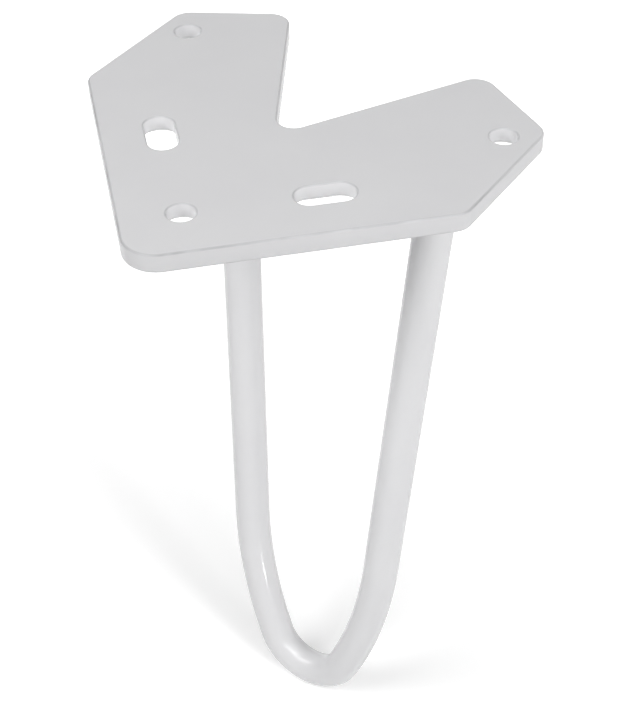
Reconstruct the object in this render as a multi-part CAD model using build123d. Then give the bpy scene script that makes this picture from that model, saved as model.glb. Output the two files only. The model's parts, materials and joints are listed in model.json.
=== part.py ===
from build123d import *
import os
from math import asin, atan2, cos, hypot, pi, radians, sin

# Hairpin table leg: a bar bent into a U and welded under a chevron-shaped screw plate.
# The plate's top face lies on Z = 0, against the underside of the table, and the leg hangs below it.
# X follows one outer edge of the plate and Y the other. The leg is the same on both sides of X = Y.

# mounting plate, measured from its outer corner
plate_span = 100.0        # reach of each arm from the opposite outer edge
plate_thickness = 4.75
corner_cut = 26.5         # 45 degree cut at the far end of each outer edge
arm_splay = 15.0          # degrees between an arm's inner edge and its outer edge
notch_inset = 39.3        # inner corner of the chevron, from both outer edges
heel_radius = 8.0         # outer corner
arm_radius = 5.0          # the three corners of each arm
notch_radius = 4.0        # inner corner
edge_radius = 0.6         # softened top and bottom edges of the outline

# screw holes and slots
hole_diameter = 6.6
hole_inset = 14.0         # corner hole and slots, from the outer edges
hole_from_tip = 9.8       # tip hole, from the end of the arm
hole_from_notch = 25.1    # tip hole, from the inner edge of the arm
slot_width = 7.2
slot_length = 14.0        # end to end
slot_station = 45.6       # middle of a slot, from the other outer edge
screw_seat = 1.4          # 45 degree countersink for the screw head, on the underside

# hairpin bar
rod_diameter = 10.0
leg_height = 207.0        # from the top face to the lowest point of the bend
leg_lean = 5.0            # degrees, outwards to the plate's outer corner
seat_from_tip = 17.2      # bar's end, from the end of the arm
seat_from_notch = 13.0    # bar's end, from the inner edge of the arm
nose_radius = 13.0        # centreline of the tight bend at the foot
nose_turn = 68.0          # degrees that the nose takes up on each side of the foot
shoulder_radius = 145.0   # centreline of the slow bend from the nose into each leg

# welds
weld_leg = 2.6            # size of the fillet on the bar and on the plate
weld_crown = 0.4          # how far the bead's face bulges

rod_radius = rod_diameter / 2
underside = Plane.XY.offset(-plate_thickness)
diagonal = Plane(origin=(0, 0, 0), z_dir=(1, -1, 0))

# directions along and across the arm that follows X, from its inner edge
along_arm = Vector(cos(radians(arm_splay)), sin(radians(arm_splay)))
across_arm = Vector(-along_arm.Y, along_arm.X)

# corners of that arm, from its outer edge round to the notch
edge_corner = Vector(plate_span - corner_cut, 0)
tip_corner = Vector(plate_span, corner_cut)
notch_corner = Vector(notch_inset, notch_inset)
inner_corner = notch_corner + along_arm * (tip_corner - notch_corner).dot(along_arm)

# that arm's screw hole, and the bar's end under it
tip_hole = inner_corner - along_arm * hole_from_tip - across_arm * hole_from_notch
bar_seat = inner_corner - along_arm * seat_from_tip - across_arm * seat_from_notch

# the plane of the U: X across the two legs and Y down between them
seat_middle = Vector((bar_seat.X + bar_seat.Y) / 2, (bar_seat.X + bar_seat.Y) / 2, -plate_thickness)
legs_across = Vector(1, -1, 0).normalized()
outwards = Vector(-1, -1, 0).normalized()
legs_down = outwards * sin(radians(leg_lean)) - Vector(0, 0, 1) * cos(radians(leg_lean))
leg_plane = Plane(origin=seat_middle, x_dir=legs_across, z_dir=legs_across.cross(legs_down))

# the U on that plane: centres of the nose and of the right shoulder, and the angle at which the leg leaves
half_spread = (bar_seat.X - bar_seat.Y) / 2 ** 0.5
foot_depth = (leg_height - plate_thickness - rod_radius) / cos(radians(leg_lean))
nose_depth = foot_depth - nose_radius
nose_end = pi / 2 - radians(nose_turn)
shoulder_across = (nose_radius - shoulder_radius) * cos(nose_end)
shoulder_depth = nose_depth + (nose_radius - shoulder_radius) * sin(nose_end)
shoulder_reach = hypot(half_spread - shoulder_across, shoulder_depth)
leg_angle = atan2(half_spread - shoulder_across, shoulder_depth) - asin(shoulder_radius / shoulder_reach)


def swapped(point):
    """The same point on the other arm."""
    return Vector(point.Y, point.X)


def on_leg_plane(across, down):
    return leg_plane.from_local_coords(Vector(across, down, 0))


def plate_outline():
    """The chevron, with every corner rounded."""
    arm = [edge_corner, tip_corner, inner_corner]
    corners = [Vector(0, 0)] + arm + [notch_corner] + [swapped(corner) for corner in reversed(arm)]
    arm_radii = [arm_radius] * len(arm)
    radii = [heel_radius] + arm_radii + [notch_radius] + arm_radii
    return make_face(FilletPolyline(*corners, radius=radii, close=True))


def plate_openings():
    """Round holes at the corner and both tips, and a slot along each outer edge."""
    centres = [Vector(hole_inset, hole_inset), tip_hole, swapped(tip_hole)]
    holes = [Pos(centre) * Circle(hole_diameter / 2) for centre in centres]
    slot = SlotOverall(slot_length, slot_width)
    slots = [Pos(slot_station, hole_inset) * slot, Pos(hole_inset, slot_station) * Rot(Z=90) * slot]
    return holes + slots


def make_plate():
    plate = extrude(plate_outline() - plate_openings(), amount=-plate_thickness)
    seats = plate.faces().sort_by(Axis.Z)[0].inner_wires().edges()
    plate = chamfer(seats, screw_seat)
    faces = plate.faces().filter_by(Axis.Z).sort_by(Axis.Z)
    rims = faces[0].outer_wire().edges() + faces[-1].outer_wire().edges()
    return fillet(rims, edge_radius)


def shoulder_arc(side):
    """From a leg to the nose, on the right for side 1 and on the left for side -1."""
    angles = (leg_angle, (leg_angle + nose_end) / 2, nose_end)
    across = [side * (shoulder_across + shoulder_radius * cos(angle)) for angle in angles]
    down = [shoulder_depth + shoulder_radius * sin(angle) for angle in angles]
    return ThreePointArc(*[on_leg_plane(x, y) for x, y in zip(across, down)])


def make_rod():
    """Legs that bow in to a tight nose, swept past the plate and cut flat to its underside."""
    spare = rod_diameter
    top_across = half_spread + spare * sin(leg_angle)
    top_down = -spare * cos(leg_angle)
    shoulders = [shoulder_arc(1), shoulder_arc(-1)]
    right_leg = Line(on_leg_plane(top_across, top_down), shoulders[0] @ 0)
    left_leg = Line(on_leg_plane(-top_across, top_down), shoulders[1] @ 0)
    nose = ThreePointArc(shoulders[0] @ 1, on_leg_plane(0, foot_depth), shoulders[1] @ 1)
    path = Wire([right_leg, shoulders[0], nose, shoulders[1], left_leg])
    bar = sweep(Plane(origin=path @ 0, z_dir=path % 0) * Circle(rod_radius), path=path)
    return split(bar, bisect_by=underside, keep=Keep.BOTTOM)


def make_weld():
    """A fillet bead round the bar's end, under the arm that follows X."""
    toe = (rod_radius, weld_leg)
    crown = (rod_radius + weld_leg + weld_crown, weld_crown)
    beyond = (rod_radius + 2 * weld_leg, -weld_leg)
    section = make_face([ThreePointArc(toe, crown, beyond), Polyline(beyond, (rod_radius, -weld_leg), toe)])
    down_leg = on_leg_plane(-sin(leg_angle), cos(leg_angle)) - on_leg_plane(0, 0)
    seat = Plane(origin=on_leg_plane(half_spread, 0), z_dir=down_leg)
    bead = seat * revolve(Plane.XZ * section, axis=Axis.Z)
    return split(bead, bisect_by=underside, keep=Keep.BOTTOM)


right_weld = make_weld()
nodes = {
    "mounting_plate": make_plate(),
    "hairpin_rod": make_rod(),
    "right_weld": right_weld,
    "left_weld": mirror(right_weld, about=diagonal),
}

# the origin is the corner hole's axis, on the top face
corner_hole = Pos(-hole_inset, -hole_inset)
os.makedirs("parts", exist_ok=True)
for name, solid in nodes.items():
    export_step(corner_hole * solid, f"parts/{name}.step")
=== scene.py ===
import json
from functools import partial
from math import asin, atan2, cos, hypot, pi, radians, sin, tan

import bmesh
import bpy
from mathutils import Matrix, Vector
from mathutils.geometry import tessellate_polygon


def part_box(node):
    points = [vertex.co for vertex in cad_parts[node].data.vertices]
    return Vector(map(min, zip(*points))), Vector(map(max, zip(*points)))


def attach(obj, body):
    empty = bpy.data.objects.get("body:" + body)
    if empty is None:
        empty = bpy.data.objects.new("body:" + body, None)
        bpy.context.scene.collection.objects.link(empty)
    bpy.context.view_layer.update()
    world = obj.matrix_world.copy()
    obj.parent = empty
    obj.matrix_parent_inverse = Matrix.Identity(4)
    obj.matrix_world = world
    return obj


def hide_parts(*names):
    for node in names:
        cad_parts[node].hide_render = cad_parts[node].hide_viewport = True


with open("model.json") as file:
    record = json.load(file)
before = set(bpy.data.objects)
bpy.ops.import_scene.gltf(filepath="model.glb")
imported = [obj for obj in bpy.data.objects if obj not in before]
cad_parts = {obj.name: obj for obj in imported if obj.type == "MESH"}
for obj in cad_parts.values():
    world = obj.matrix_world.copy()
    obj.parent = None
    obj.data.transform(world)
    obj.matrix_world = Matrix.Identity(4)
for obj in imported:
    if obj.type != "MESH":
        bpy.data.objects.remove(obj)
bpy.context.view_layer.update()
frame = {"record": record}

mm = 0.001
mounts = {mount["name"]: mount for mount in frame["record"]["mounts"]}
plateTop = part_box("mounting_plate")[1].z
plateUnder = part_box("mounting_plate")[0].z
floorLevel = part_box("hairpin_rod")[0].z


# nodes, for materials and for geometry trees
mixSockets = {"VECTOR": (4, 5, 1), "RGBA": (6, 7, 2)}    # places of both inputs and of the output


def addNode(tree, kind, **values):
    node = tree.nodes.new(kind)
    for name, value in values.items():
        setattr(node, name, value)
    return node


def feed(tree, socket, value):
    if isinstance(value, (int, float, tuple)):
        socket.default_value = value
    else:
        tree.links.new(value, socket)


def mathNode(tree, operation, *values):
    node = addNode(tree, "ShaderNodeMath", operation=operation)
    for socket, value in zip(node.inputs, values):
        feed(tree, socket, value)
    return node.outputs["Value"]


def vectorNode(tree, operation, *values):
    node = addNode(tree, "ShaderNodeVectorMath", operation=operation)
    sockets = [node.inputs[0], node.inputs["Scale"]] if operation == "SCALE" else node.inputs
    for socket, value in zip(sockets, values):
        feed(tree, socket, value)
    return node.outputs["Value" if operation == "DISTANCE" else "Vector"]


def heightOf(tree, vector):
    parts = addNode(tree, "ShaderNodeSeparateXYZ")
    feed(tree, parts.inputs[0], vector)
    return parts.outputs["Z"]


def mixNode(tree, kind, share, first, second):
    mix = addNode(tree, "ShaderNodeMix", data_type=kind)
    firstSocket, secondSocket, output = mixSockets[kind]
    feed(tree, mix.inputs["Factor"], share)
    feed(tree, mix.inputs[firstSocket], first)
    feed(tree, mix.inputs[secondSocket], second)
    return mix.outputs[output]


def mapNode(tree, value, fromRange, toRange):
    mapped = addNode(tree, "ShaderNodeMapRange")
    mapped.inputs["From Min"].default_value, mapped.inputs["From Max"].default_value = fromRange
    mapped.inputs["To Min"].default_value, mapped.inputs["To Max"].default_value = toRange
    feed(tree, mapped.inputs["Value"], value)
    return mapped.outputs["Result"]


def noiseNode(tree, place, scale, detail, seed=None):
    noise = addNode(tree, "ShaderNodeTexNoise")
    noise.inputs["Scale"].default_value = scale
    noise.inputs["Detail"].default_value = detail
    feed(tree, noise.inputs["Vector"], place)
    if seed is not None:
        noise.noise_dimensions = "4D"
        feed(tree, noise.inputs["W"], seed)
    return noise.outputs["Fac"]


# powder coat
coat = {
    "tone": (0.705, 0.703, 0.716, 1),        # main colour, linear
    "paleTone": (0.725, 0.724, 0.734, 1),    # where the film is thick
    "filmAndShadeTone": (0.38, 0.38, 0.39, 1),       # painted shade along rims and cut edges, where the film also draws back from an edge
    "ior": 1.5,
    "cloudScale": 40,                        # slow change of tone, per metre
    "cloudDetail": 3,
    "sheenScale": 80,                        # slow change of gloss, per metre
    "roughness": (0.17, 0.23),
    "thinRoughness": 0.7,
    "skin": 0.3,                             # glossy skin on top of the film
    "skinRoughness": 0.1,
    "skinFade": (0, 0.5),                    # from full film to where the skin is gone
    "edgeScale": 120,                        # gaps in the painted rim shade, where the film is thicker, along an edge, per metre
    "edgePatchy": (0, 0.7),
    "edgeContrast": (0.35, 0.65),            # part of that noise which makes a patch
    "peelScale": 420,                        # orange peel, per metre
    "peelHeight": 0.00004,
    "peelStrength": 0.05,
    "contrast": (0.3, 0.7),                  # part of the slow noises that is used
    "detail": 2,
}


def makePowderCoat():
    material = bpy.data.materials.new("whitePowderCoat")
    material.use_nodes = True
    tree = material.node_tree
    link = tree.links.new
    shader = tree.nodes["Principled BSDF"]
    shader.inputs["IOR"].default_value = coat["ior"]
    shader.inputs["Coat Roughness"].default_value = coat["skinRoughness"]
    place = addNode(tree, "ShaderNodeTexCoord").outputs["Object"]
    # per-point share of painted edge shade and thin film, set on the plate's rims and walls
    thinFilmAndShade = addNode(tree, "ShaderNodeAttribute", attribute_name="edgeFilmAndShade").outputs["Fac"]

    # slow change of tone, and painted shade along the rims and cut edges in patches, where the film also
    # draws back
    clouds = noiseNode(tree, place, coat["cloudScale"], coat["cloudDetail"])
    clouds = mapNode(tree, clouds, coat["contrast"], (0, 1))
    tone = mixNode(tree, "RGBA", clouds, coat["tone"], coat["paleTone"])
    onRim = mathNode(tree, "POWER", thinFilmAndShade, 2)    # strong on the rim's line only
    patchy = noiseNode(tree, place, coat["edgeScale"], coat["detail"])
    patchy = mapNode(tree, patchy, coat["edgeContrast"], coat["edgePatchy"])
    patchy = mathNode(tree, "MULTIPLY", patchy, onRim)
    filmAndShadeDarkening = mathNode(tree, "MULTIPLY", thinFilmAndShade, mathNode(tree, "SUBTRACT", 1, patchy))
    tone = mixNode(tree, "RGBA", filmAndShadeDarkening, tone, coat["filmAndShadeTone"])
    link(tone, shader.inputs["Base Color"])

    # slow change of gloss, dull where the film is thin
    sheen = noiseNode(tree, place, coat["sheenScale"], coat["detail"])
    sheen = mapNode(tree, sheen, coat["contrast"], coat["roughness"])
    dull = mathNode(tree, "MULTIPLY", thinFilmAndShade, coat["thinRoughness"])
    link(mathNode(tree, "MAXIMUM", sheen, dull), shader.inputs["Roughness"])
    link(mapNode(tree, thinFilmAndShade, coat["skinFade"], (coat["skin"], 0)), shader.inputs["Coat Weight"])

    # orange peel
    peel = addNode(tree, "ShaderNodeBump")
    peel.inputs["Strength"].default_value = coat["peelStrength"]
    peel.inputs["Distance"].default_value = coat["peelHeight"]
    link(noiseNode(tree, place, coat["peelScale"], coat["detail"]), peel.inputs["Height"])
    link(peel.outputs["Normal"], shader.inputs["Normal"])
    return material


powderCoat = makePowderCoat()
print("powder coat ready")


# pieces and geometry trees
creaseAngle = 50    # degrees between two faces, past which their edge stays sharp


def addPiece(name, mesh, node):
    piece = bpy.data.objects.new(name, mesh)
    bpy.context.scene.collection.objects.link(piece)
    if not mesh.materials:
        mesh.materials.append(powderCoat)
    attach(piece, "root")
    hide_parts(node)
    return piece


def newTree(name, sizes):
    tree = bpy.data.node_groups.new(name, "GeometryNodeTree")
    tree.interface.new_socket("Geometry", in_out="INPUT", socket_type="NodeSocketGeometry")
    for label, value in sizes.items():
        kind = "NodeSocketInt" if isinstance(value, int) else "NodeSocketFloat"
        tree.interface.new_socket(label, in_out="INPUT", socket_type=kind)
    tree.interface.new_socket("Geometry", in_out="OUTPUT", socket_type="NodeSocketGeometry")
    return tree, addNode(tree, "NodeGroupInput"), addNode(tree, "NodeGroupOutput")


def finishTree(tree, geometry, groupOut):
    smooth = addNode(tree, "GeometryNodeSetShadeSmooth")
    crease = addNode(tree, "GeometryNodeSetShadeSmooth", domain="EDGE")
    crease.inputs["Shade Smooth"].default_value = False
    realize = addNode(tree, "GeometryNodeRealizeInstances")
    paint = addNode(tree, "GeometryNodeSetMaterial")
    paint.inputs["Material"].default_value = powderCoat
    turn = addNode(tree, "GeometryNodeInputMeshEdgeAngle").outputs["Unsigned Angle"]
    sharp = mathNode(tree, "GREATER_THAN", turn, radians(creaseAngle))
    tree.links.new(sharp, crease.inputs["Selection"])
    for node in (smooth, crease, realize, paint):
        tree.links.new(geometry, node.inputs["Geometry"])
        geometry = node.outputs["Geometry"]
    tree.links.new(geometry, groupOut.inputs["Geometry"])


def meshFromTree(name, guide, tree, sizes):
    holder = bpy.data.objects.new(name + "Guide", guide)
    bpy.context.scene.collection.objects.link(holder)
    modifier = holder.modifiers.new(name + "Tree", "NODES")
    modifier.node_group = tree
    for item in tree.interface.items_tree:
        if item.in_out == "INPUT" and item.name in sizes:
            modifier[item.identifier] = sizes[item.name]
    evaluated = holder.evaluated_get(bpy.context.evaluated_depsgraph_get())
    mesh = bpy.data.meshes.new_from_object(evaluated)
    mesh.name = name
    holder.modifiers.remove(modifier)
    bpy.data.objects.remove(holder)
    return mesh


# mounting plate, measured from its outer corner in mm
plate = {
    "span": 100.0,
    "cornerCut": 26.5,
    "armSplay": 15.0,         # degrees
    "notchInset": 39.3,
    "heelRadius": 8.0,
    "armRadius": 5.0,
    "notchRadius": 4.0,
    "edgeRadius": 0.6,
    "holeInset": 14.0,        # from the outer edges to the corner hole, which is the origin
    "slotLength": 14.0,
    "slotWidth": 7.2,
    "rimRadius": 0.4,         # coat built up round the top of an opening
    "seatRadius": 0.2,        # softened edges of a countersink
    "edgeFilmAndShade": 0.30,         # painted shade on the outline's cut edge, where the coat also draws back
    "rimFilmAndShade": 0.65,          # painted shade line on the rim of an opening
    "seatFilmAndShade": 0.3,          # painted shade on the edge of a countersink
    "outlineFilmAndShade": 1,         # and painted shade on the outline's rims, times its share at each corner
    "rimShadeByCorner": (1, 0.8, 0.35, 0.35, 0.35, 0.35, 0.6, 1),    # that share of the painted rim shade, at each corner in turn
    "cornerSteps": 16,
    "slotSteps": 32,          # on each round end
    "holeSteps": 80,
    "rimSteps": 8,
}
heel = Vector((plate["holeInset"], plate["holeInset"]))    # from the outer corner to the origin


def plateCorners():
    along = Vector((cos(radians(plate["armSplay"])), sin(radians(plate["armSplay"]))))
    edge = Vector((plate["span"] - plate["cornerCut"], 0))
    tip = Vector((plate["span"], plate["cornerCut"]))
    notch = Vector((plate["notchInset"], plate["notchInset"]))
    inner = notch + along * (tip - notch).dot(along)
    return edge, tip, inner, notch


def roundedLoop(corners, radii, rimShadeByCorner):
    loop = []    # (place, outward normal, share of the painted rim shade), anticlockwise
    steps = plate["cornerSteps"]
    for i, corner in enumerate(corners):
        before = (corner - corners[i - 1]).normalized()
        after = (corners[(i + 1) % len(corners)] - corner).normalized()
        turn = atan2(before.cross(after), before.dot(after))
        side = 1 if turn > 0 else -1
        centre = corner - before * radii[i] * abs(tan(turn / 2))
        centre += Vector((-before.y, before.x)) * radii[i] * side
        start = atan2(-before.x, before.y)
        for step in range(steps + 1):
            angle = start + turn * step / steps
            outward = Vector((cos(angle), sin(angle)))
            loop.append((centre + outward * radii[i] * side, outward, rimShadeByCorner[i]))
    return loop


def slotLoop(centre, along):
    loop = []    # clockwise, with normals into the opening
    radius = plate["slotWidth"] / 2
    halfRun = plate["slotLength"] / 2 - radius
    steps = plate["slotSteps"]
    for end in (1, -1):
        for step in range(steps + 1):
            angle = pi / 2 - pi * step / steps + (0 if end > 0 else pi)
            spoke = Vector((cos(angle), sin(angle)))
            place = spoke * radius + Vector((halfRun * end, 0))
            if along == "y":
                place, spoke = Vector((-place.y, place.x)), Vector((-spoke.y, spoke.x))
            loop.append((centre + place, -spoke, 1))
    return loop


def holeLoop(centre, radius):
    steps = plate["holeSteps"]
    spokes = [Vector((cos(2 * pi * i / steps), -sin(2 * pi * i / steps))) for i in range(steps)]
    return [(centre + spoke * radius, -spoke, 1) for spoke in spokes]


def outlineLoop():
    edge, tip, inner, notch = plateCorners()
    arm = [edge, tip, inner]
    corners = [Vector((0, 0))] + arm + [notch] + [corner.yx for corner in reversed(arm)]
    armRadii = [plate["armRadius"]] * len(arm)
    radii = [plate["heelRadius"]] + armRadii + [plate["notchRadius"]] + armRadii
    loop = roundedLoop(corners, radii, plate["rimShadeByCorner"])
    return [(place - heel, outward, rimShadeShare) for place, outward, rimShadeShare in loop]


def openingLoops():
    radius = mounts["corner_hole"]["dims"]["r_mm"]
    places = {name: Vector(mount["pos_m"]).xy / mm for name, mount in mounts.items()}
    loops = [holeLoop(places[name], radius) for name in ("corner_hole", "x_tip_hole", "y_tip_hole")]
    return loops + [slotLoop(places[axis + "_slot"], axis) for axis in "xy"]


def quarterRound(radius, level, downwards, rimFilmAndShade, wallFilmAndShade):
    rings = []    # (inset, level, painted shade and film draw-back on the rim, and on the wall)
    for step in range(plate["rimSteps"] + 1):
        angle = pi / 2 * step / plate["rimSteps"]
        inset = radius * (1 - sin(angle))
        drop = radius * (1 - cos(angle))
        rings.append((inset, level - downwards * drop, rimFilmAndShade * sin(2 * angle), wallFilmAndShade * sin(angle)))
    return rings


def outlineRings():
    rimAndWallShade = plate["outlineFilmAndShade"], plate["edgeFilmAndShade"]
    upper = quarterRound(plate["edgeRadius"], plateTop / mm, 1, *rimAndWallShade)
    lower = quarterRound(plate["edgeRadius"], plateUnder / mm, -1, *rimAndWallShade)
    return upper + lower[::-1]


def openingRings():
    top, under = plateTop / mm, plateUnder / mm
    sink = top - under - mounts["corner_hole"]["dims"]["length_mm"]    # depth of a countersink
    soft = plate["seatRadius"]
    nip = soft / 3    # what a softened edge takes off its corner
    rings = quarterRound(plate["rimRadius"], top, 1, plate["rimFilmAndShade"], 0)
    rings += [(0, under + sink + soft, 0, 0), (nip, under + sink - nip, 0, 0)]
    rings += [(sink - soft, under + soft, plate["seatFilmAndShade"], 0), (sink + nip, under, 0, 0)]
    return rings


def addWall(body, filmAndShadeLayer, loop, rings):
    rows = []
    for inset, level, rimThinAndShade, wallThinAndShade in rings:
        row = []
        for place, outward, rimShadeShare in loop:
            spot = place - outward * inset
            vert = body.verts.new((spot.x * mm, spot.y * mm, level * mm))
            # painted shade and thin film along the rim and the wall, kept per point for the coat
            vert[filmAndShadeLayer] = max(rimThinAndShade * rimShadeShare, wallThinAndShade)
            row.append(vert)
        rows.append(row)
    for upper, lower in zip(rows, rows[1:]):
        for i in range(len(loop)):
            j = (i + 1) % len(loop)
            body.faces.new((upper[i], lower[i], lower[j], upper[j])).smooth = True
    return rows[0], rows[-1]


def plateMesh():
    body = bmesh.new()
    # per-point painted edge shade and thin film
    filmAndShadeLayer = body.verts.layers.float.new("edgeFilmAndShade")
    rims = [addWall(body, filmAndShadeLayer, outlineLoop(), outlineRings())]
    rims += [addWall(body, filmAndShadeLayer, loop, openingRings()) for loop in openingLoops()]
    for rows in zip(*rims):    # the top face, then the underside
        flat = [vert for row in rows for vert in row]
        for triangle in tessellate_polygon([[vert.co for vert in row] for row in rows]):
            body.faces.new([flat[i] for i in triangle])
    bmesh.ops.recalc_face_normals(body, faces=body.faces)
    mesh = bpy.data.meshes.new("mountingPlate")
    body.to_mesh(mesh)
    body.free()
    return mesh


mountingPlate = addPiece("mountingPlate", plateMesh(), "mounting_plate")
print("mounting plate", len(mountingPlate.data.polygons), "faces")


# hairpin bar, in mm on the plane of the U
bar = {
    "diameter": 10.0,
    "lean": 5.0,              # degrees, outwards
    "seatFromTip": 17.2,
    "seatFromNotch": 13.0,
    "noseRadius": 13.0,
    "noseTurn": 68.0,         # degrees on each side of the foot
    "shoulderRadius": 145.0,
    "sides": 88,
    "bendPoints": 200,
    "ringSpacing": 1.0,
}


def barSeat():
    inner, notch = plateCorners()[2:]
    along = (inner - notch).normalized()
    across = Vector((-along.y, along.x))
    return inner - along * bar["seatFromTip"] - across * bar["seatFromNotch"] - heel


seat = barSeat()
barLean = radians(bar["lean"])
noseEnd = pi / 2 - radians(bar["noseTurn"])    # from the line across the legs to where the nose ends
outwards = Vector((-1, -1, 0)).normalized()
legsAcross = Vector((1, -1, 0)).normalized()
legsDown = outwards * sin(barLean) - Vector((0, 0, cos(barLean)))
seatMiddle = Vector(((seat.x + seat.y) / 2, (seat.x + seat.y) / 2, plateUnder / mm))
halfSpread = (seat.x - seat.y) / 2 ** 0.5
footDepth = ((plateUnder - floorLevel) / mm - bar["diameter"] / 2) / cos(barLean)


def legAngle():
    reach = bar["noseRadius"] - bar["shoulderRadius"]
    wide = halfSpread - reach * cos(noseEnd)    # between a leg's top and its shoulder's centre
    deep = footDepth - bar["noseRadius"] + reach * sin(noseEnd)
    return atan2(wide, deep) - asin(bar["shoulderRadius"] / hypot(wide, deep))


def onLegPlane(across, down):
    return (seatMiddle + legsAcross * across + legsDown * down) * mm


def barGuide():
    slope = legAngle()
    # the nose's tangents meet below the foot at the apex, and each meets a leg at a shoulder
    apex = footDepth - bar["noseRadius"] + bar["noseRadius"] / sin(noseEnd)
    run = (apex * sin(noseEnd) - halfSpread * cos(noseEnd)) / sin(noseEnd - slope)
    shoulder = Vector((halfSpread - run * sin(slope), run * cos(slope)))
    corners = [Vector((halfSpread, 0)), shoulder, Vector((0, apex))]
    corners += [Vector((-corner.x, corner.y)) for corner in reversed(corners[:2])]
    edges = [(i, i + 1) for i in range(len(corners) - 1)]
    guide = bpy.data.meshes.new("barGuide")
    guide.from_pydata([onLegPlane(*corner) for corner in corners], edges, [])
    radii = [0, bar["shoulderRadius"] * mm, bar["noseRadius"] * mm, bar["shoulderRadius"] * mm, 0]
    guide.attributes.new("bendRadius", "FLOAT", "POINT").data.foreach_set("value", radii)
    return guide


def barTree(sizes):
    tree, groupIn, groupOut = newTree("hairpinBar", sizes)
    link = tree.links.new
    size = groupIn.outputs

    # the guide's corners become bends, divided evenly
    path = addNode(tree, "GeometryNodeMeshToCurve")
    link(size["Geometry"], path.inputs["Mesh"])
    radius = addNode(tree, "GeometryNodeInputNamedAttribute", data_type="FLOAT")
    radius.inputs["Name"].default_value = "bendRadius"
    bend = addNode(tree, "GeometryNodeFilletCurve", mode="POLY")
    link(path.outputs["Curve"], bend.inputs["Curve"])
    link(radius.outputs["Attribute"], bend.inputs["Radius"])
    link(size["Bend Points"], bend.inputs["Count"])
    even = addNode(tree, "GeometryNodeResampleCurve", mode="LENGTH")
    link(bend.outputs["Curve"], even.inputs["Curve"])
    link(size["Ring Spacing"], even.inputs["Length"])

    # both ends and their direction are kept for the flat cut
    keep = addNode(tree, "GeometryNodeCaptureAttribute")
    keep.capture_items.new("VECTOR", "direction")
    keep.capture_items.new("BOOLEAN", "end")
    link(even.outputs["Curve"], keep.inputs["Geometry"])
    link(addNode(tree, "GeometryNodeInputTangent").outputs["Tangent"], keep.inputs["direction"])
    link(addNode(tree, "GeometryNodeCurveEndpointSelection").outputs["Selection"], keep.inputs["end"])

    # round section
    circle = addNode(tree, "GeometryNodeCurvePrimitiveCircle")
    link(size["Sides"], circle.inputs["Resolution"])
    link(size["Bar Radius"], circle.inputs["Radius"])
    skin = addNode(tree, "GeometryNodeCurveToMesh")
    skin.inputs["Fill Caps"].default_value = True
    link(keep.outputs["Geometry"], skin.inputs["Curve"])
    link(circle.outputs["Curve"], skin.inputs["Profile Curve"])

    # both ends slide along the bar to the plate's underside
    direction = keep.outputs["direction"]
    place = addNode(tree, "GeometryNodeInputPosition").outputs["Position"]
    short = mathNode(tree, "SUBTRACT", size["Plate Underside"], heightOf(tree, place))
    slide = mathNode(tree, "DIVIDE", short, heightOf(tree, direction))
    cut = addNode(tree, "GeometryNodeSetPosition")
    link(skin.outputs["Mesh"], cut.inputs["Geometry"])
    link(keep.outputs["end"], cut.inputs["Selection"])
    link(vectorNode(tree, "SCALE", direction, slide), cut.inputs["Offset"])
    finishTree(tree, cut.outputs["Geometry"], groupOut)
    return tree


barSizes = {
    "Bar Radius": bar["diameter"] / 2 * mm,
    "Plate Underside": plateUnder,
    "Ring Spacing": bar["ringSpacing"] * mm,
    "Sides": bar["sides"],
    "Bend Points": bar["bendPoints"],
}
barMesh = meshFromTree("hairpinBar", barGuide(), barTree(barSizes), barSizes)
hairpinBar = addPiece("hairpinBar", barMesh, "hairpin_rod")
print("hairpin bar", len(hairpinBar.data.polygons), "faces")


# weld beads round the bar's ends, in mm
weld = {
    "leg": 2.6,               # on the bar
    "plateToe": 8.38,         # reach on the plate, from the bar's axis
    "toeSlope": 0.913,        # how the reach follows the bar's slant
    "crown": 0.22,
    "ripples": 24,            # round one end
    "rippleDepth": 0.2,
    "toeRipple": 0.6,         # share of that depth at the toes
    "trail": 0.8,             # how far a ripple's edges lag, in ripples
    "wander": 0.9,            # unevenness of the ripples, in ripples
    "wanderScale": 2.5,       # more is finer
    "wanderDetail": 2,
    "seed": 4.0,
    "faceEnd": 0.7,           # share of the section's points up to the end of the bead's face
    "plateEnd": 0.85,         # and up to the end of the way back along the plate
    "guideRun": 10,           # length of the guide along the bar's axis
    "around": 384,            # sections round one end
    "across": 20,             # points on a section
}


def weldGuide(side):
    slope = legAngle()
    runs = (0, weld["guideRun"])
    ends = [onLegPlane(side * (halfSpread - run * sin(slope)), run * cos(slope)) for run in runs]
    guide = bpy.data.meshes.new("weldGuide")
    guide.from_pydata(ends, [(0, 1)], [])
    return guide


def guidePoint(tree, guide, number):
    pick = addNode(tree, "GeometryNodeSampleIndex", data_type="FLOAT_VECTOR")
    pick.inputs["Index"].default_value = number
    tree.links.new(guide, pick.inputs["Geometry"])
    tree.links.new(addNode(tree, "GeometryNodeInputPosition").outputs["Position"], pick.inputs["Value"])
    return pick.outputs["Value"]


def sharedCircle(tree, points):
    circle = addNode(tree, "GeometryNodeCurvePrimitiveCircle")
    tree.links.new(points, circle.inputs["Resolution"])
    keep = addNode(tree, "GeometryNodeCaptureAttribute")
    keep.capture_items.new("FLOAT", "share")
    tree.links.new(circle.outputs["Curve"], keep.inputs["Geometry"])
    index = addNode(tree, "GeometryNodeSplineParameter").outputs["Index"]
    tree.links.new(mathNode(tree, "DIVIDE", index, points), keep.inputs["share"])
    return keep.outputs["Geometry"], keep.outputs["share"]


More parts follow.
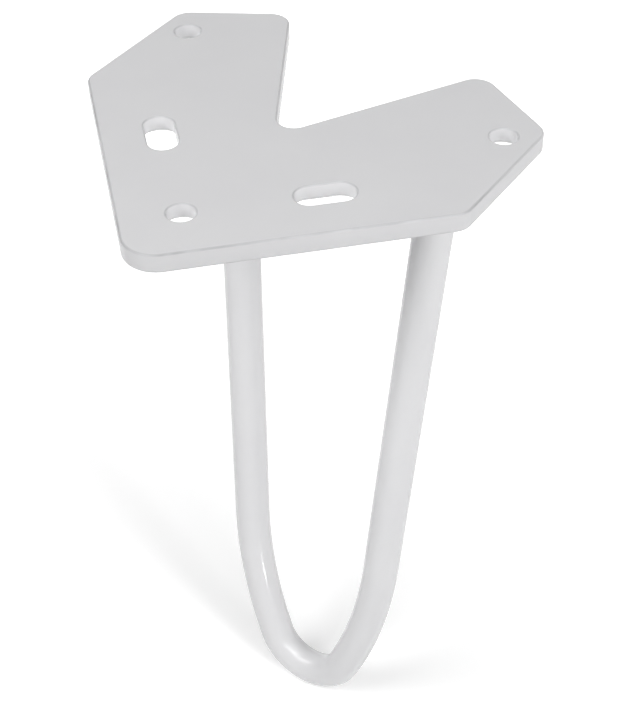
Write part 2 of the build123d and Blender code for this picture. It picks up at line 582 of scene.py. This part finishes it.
def weldTree(sizes):
    tree, groupIn, groupOut = newTree("weldBead", sizes)
    size = groupIn.outputs
    calc = partial(mathNode, tree)
    move = partial(vectorNode, tree)

    # the guide follows the bar's axis, from the plate downwards
    top, lower = (guidePoint(tree, size["Geometry"], number) for number in (0, 1))
    down = move("NORMALIZE", move("SUBTRACT", lower, top))
    first = move("NORMALIZE", move("CROSS_PRODUCT", down, (0.0, 1.0, 0.0)))
    second = move("CROSS_PRODUCT", down, first)

    # a ring of closed sections, told apart by their share of the ring and of the section
    ring, ringShare = sharedCircle(tree, size["Around"])
    section, sectionShare = sharedCircle(tree, size["Across"])
    skin = addNode(tree, "GeometryNodeCurveToMesh")
    tree.links.new(ring, skin.inputs["Curve"])
    tree.links.new(section, skin.inputs["Profile Curve"])
    angle = calc("MULTIPLY", ringShare, 2 * pi)
    alongFirst = move("SCALE", first, calc("COSINE", angle))
    alongSecond = move("SCALE", second, calc("SINE", angle))
    spoke = move("ADD", alongFirst, alongSecond)
    slant = calc("DIVIDE", heightOf(tree, spoke), calc("MULTIPLY", heightOf(tree, down), -1))

    def spot(radius, depth):
        out = move("ADD", top, move("SCALE", spoke, radius))
        return move("ADD", out, move("SCALE", down, depth))

    # share of the bead's face, then of the hidden way back along the plate and up the bar
    face = mapNode(tree, sectionShare, (0, weld["faceEnd"]), (0, 1))
    along = mapNode(tree, sectionShare, (weld["faceEnd"], weld["plateEnd"]), (0, 1))
    back = mapNode(tree, sectionShare, (weld["plateEnd"], 1), (0, 1))

    # ripples are arches of uneven width that lag towards the toes, and 4 brings the square of a half to 1
    uneven = noiseNode(tree, spoke, weld["wanderScale"], weld["wanderDetail"], size["Seed"])
    uneven = calc("MULTIPLY", calc("SUBTRACT", uneven, 0.5), size["Wander"])
    fromMiddle = calc("SUBTRACT", face, 0.5)
    lag = calc("MULTIPLY", calc("MULTIPLY", fromMiddle, fromMiddle), calc("MULTIPLY", size["Trail"], 4))
    step = calc("ADD", calc("MULTIPLY", ringShare, size["Ripples"]), lag)
    step = calc("FRACT", calc("ADD", step, uneven))
    swell = calc("SUBTRACT", step, 0.5)
    swell = calc("SUBTRACT", 0.5, calc("MULTIPLY", calc("MULTIPLY", swell, swell), 4))
    ripple = calc("MULTIPLY", swell, size["Ripple Depth"])
    toeRipple = calc("MULTIPLY", ripple, weld["toeRipple"])

    # toes on the bar and on the plate, and the corner between them
    stretch = calc("ADD", calc("MULTIPLY", slant, size["Toe Slope"]), 1)
    reach = calc("DIVIDE", calc("ADD", size["Plate Toe"], toeRipple), stretch)
    barToe = spot(size["Bar Radius"], calc("ADD", size["Weld Leg"], toeRipple))
    plateToe = spot(reach, calc("MULTIPLY", reach, slant))
    corner = spot(size["Bar Radius"], calc("MULTIPLY", size["Bar Radius"], slant))

    # the face bulges from toe to toe
    bulge = calc("MULTIPLY", face, calc("SUBTRACT", 1, face))
    bulge = calc("MULTIPLY", calc("MULTIPLY", bulge, 4), calc("ADD", size["Crown"], ripple))
    facing = move("NORMALIZE", move("ADD", spoke, down))
    place = mixNode(tree, "VECTOR", face, barToe, plateToe)
    place = move("ADD", place, move("SCALE", facing, bulge))
    place = mixNode(tree, "VECTOR", along, place, corner)
    place = mixNode(tree, "VECTOR", back, place, barToe)
    shape = addNode(tree, "GeometryNodeSetPosition")
    tree.links.new(skin.outputs["Mesh"], shape.inputs["Geometry"])
    tree.links.new(place, shape.inputs["Position"])
    finishTree(tree, shape.outputs["Geometry"], groupOut)
    return tree


weldSizes = {
    "Bar Radius": bar["diameter"] / 2 * mm,
    "Weld Leg": weld["leg"] * mm,
    "Plate Toe": weld["plateToe"] * mm,
    "Toe Slope": weld["toeSlope"],
    "Crown": weld["crown"] * mm,
    "Ripples": weld["ripples"],
    "Ripple Depth": weld["rippleDepth"] * mm,
    "Trail": weld["trail"],
    "Wander": weld["wander"],
    "Around": weld["around"],
    "Across": weld["across"],
    "Seed": weld["seed"],
}
beadTree = weldTree(weldSizes)
for side, name, node in ((1, "rightWeld", "right_weld"), (-1, "leftWeld", "left_weld")):
    weldSizes["Seed"] = weld["seed"] + side    # each bead is uneven in its own way
    bead = addPiece(name, meshFromTree(name, weldGuide(side), beadTree, weldSizes), node)
    print(name, len(bead.data.polygons), "faces")


# floor, in metres
ground = {
    "half": 4.0,
    "colour": (0.86, 0.86, 0.86, 1),
    "glow": (0.28, 0.95),     # by the foot and far from it, added for the camera and for reflections only
    "glowReach": (0.03, 0.65),
    "mirrored": 0.6,          # how bright the white surround looks in reflections
}


def seenDirectly(tree):
    rays = addNode(tree, "ShaderNodeLightPath").outputs
    mirrored = mathNode(tree, "MAXIMUM", rays["Is Glossy Ray"], rays["Is Transmission Ray"])
    mirrored = mathNode(tree, "MULTIPLY", mirrored, ground["mirrored"])
    return mathNode(tree, "MAXIMUM", rays["Is Camera Ray"], mirrored)


def floorMaterial():
    material = bpy.data.materials.new("paleFloor")
    material.use_nodes = True
    tree = material.node_tree
    link = tree.links.new
    tree.nodes.clear()
    matt = addNode(tree, "ShaderNodeBsdfDiffuse")
    matt.inputs["Color"].default_value = ground["colour"]

    # white to the camera, with less glow by the foot so that its shadow shows
    place = addNode(tree, "ShaderNodeTexCoord").outputs["Object"]
    away = vectorNode(tree, "DISTANCE", place, tuple(mounts["foot"]["pos_m"]))
    level = mapNode(tree, away, ground["glowReach"], ground["glow"])
    glow = addNode(tree, "ShaderNodeEmission")
    link(mathNode(tree, "MULTIPLY", seenDirectly(tree), level), glow.inputs["Strength"])
    both = addNode(tree, "ShaderNodeAddShader")
    link(matt.outputs[0], both.inputs[0])
    link(glow.outputs[0], both.inputs[1])

    # clear from below
    below = addNode(tree, "ShaderNodeNewGeometry").outputs["Backfacing"]
    oneSided = addNode(tree, "ShaderNodeMixShader")
    link(below, oneSided.inputs["Fac"])
    link(both.outputs[0], oneSided.inputs[1])
    link(addNode(tree, "ShaderNodeBsdfTransparent").outputs[0], oneSided.inputs[2])
    link(oneSided.outputs[0], addNode(tree, "ShaderNodeOutputMaterial").inputs["Surface"])
    return material


def makeFloor():
    half = ground["half"]
    corners = [(x * half, y * half, floorLevel) for x, y in ((-1, -1), (1, -1), (1, 1), (-1, 1))]
    mesh = bpy.data.meshes.new("floor")
    mesh.from_pydata(corners, [], [(0, 1, 2, 3)])
    mesh.materials.append(floorMaterial())
    floor = bpy.data.objects.new("floor", mesh)
    bpy.context.scene.collection.objects.link(floor)


makeFloor()
print("floor at", round(floorLevel, 4))


# studio light, in metres, degrees and watts
studio = {
    "ambient": 0.12,          # even light from all round
    "aim": (0.030, 0.030, -0.100),
    "reach": 0.9,
    "lamps": {                # turn from the front towards +X, rise above the horizon, width, height, power
        "key": (29, 25, 0.20, 0.65, 3.8),
        "left": (-80, 40, 0.50, 0.50, 4.4),
        "right": (80, 30, 0.50, 0.50, 0.6),
        "top": (10, 55, 0.50, 0.50, 1.9),
        "back": (180, 12, 0.60, 0.60, 2.8),
        "streak": (8, 42, 0.24, 1.38, 3.9),     # highlight along the bend
        "sweep": (-64, 60, 1.60, 0.24, 4.6),    # the other half of that highlight
    },
    "glintPlace": (0.0482, -0.0211, -0.1987),    # small highlight on the left leg
    "glintAim": (0.0208, 0.0433, -0.1661),
    "glintSize": (0.008, 0.008),
    "glintSpread": 6,
    "glintPower": 0.000016,
    "mirroredOnly": ("streak", "sweep", "glint"),    # lamps that show in reflections alone
}


def makeLamp(name, place, aim, size, power):
    data = bpy.data.lights.new(name, "AREA")
    data.shape = "RECTANGLE"
    data.size, data.size_y = size
    data.energy = power
    lamp = bpy.data.objects.new(name, data)
    lamp.location = place
    lamp.rotation_mode = "QUATERNION"
    lamp.rotation_quaternion = (Vector(place) - Vector(aim)).to_track_quat("Z", "Y")
    lamp.visible_camera = False
    lamp.visible_glossy = name in studio["mirroredOnly"]
    lamp.visible_diffuse = not lamp.visible_glossy
    bpy.context.scene.collection.objects.link(lamp)
    return lamp


def makeLight():
    world = bpy.data.worlds.new("studio")
    bpy.context.scene.world = world
    world.use_nodes = True
    tree = world.node_tree
    surround = tree.nodes["Background"]
    surround.inputs["Color"].default_value = (1, 1, 1, 1)
    strength = mapNode(tree, seenDirectly(tree), (0, 1), (studio["ambient"], 1))
    tree.links.new(strength, surround.inputs["Strength"])
    aim = Vector(studio["aim"])
    for name, (turn, rise, width, height, power) in studio["lamps"].items():
        turn, rise = radians(turn), radians(rise)
        towards = Vector((sin(turn) * cos(rise), -cos(turn) * cos(rise), sin(rise)))
        makeLamp(name, aim + towards * studio["reach"], aim, (width, height), power)
    place, aim = studio["glintPlace"], studio["glintAim"]
    glint = makeLamp("glint", place, aim, studio["glintSize"], studio["glintPower"])
    glint.data.spread = radians(studio["glintSpread"])


makeLight()
print("studio light ready")


# camera, in mm and degrees
camera = {
    "place": (-27.943, -281.544, 203.798),
    "turn": 11.623,           # from +Y towards +X
    "drop": 40.883,           # below the horizon
    "roll": 0.687,
    "lens": 82.949,           # for a 36 mm sensor on the frame's long side
    "near": 10.0,             # nothing closer is drawn
}


def makeCamera():
    turn, drop, roll = (radians(camera[name]) for name in ("turn", "drop", "roll"))
    ahead = Vector((sin(turn) * cos(drop), cos(turn) * cos(drop), -sin(drop)))
    level = Vector((cos(turn), -sin(turn), 0))
    upright = level.cross(ahead)
    right = level * cos(roll) - upright * sin(roll)
    above = upright * cos(roll) + level * sin(roll)
    turned = Matrix((right, above, -ahead)).transposed().to_4x4()
    data = bpy.data.cameras.new("camera")
    data.lens = camera["lens"]
    data.clip_start = camera["near"] * mm
    eye = bpy.data.objects.new("camera", data)
    eye.matrix_world = Matrix.Translation(Vector(camera["place"]) * mm) @ turned
    bpy.context.scene.collection.objects.link(eye)
    bpy.context.scene.camera = eye


makeCamera()
bpy.context.scene.view_settings.view_transform = "Standard"
print("camera ready")
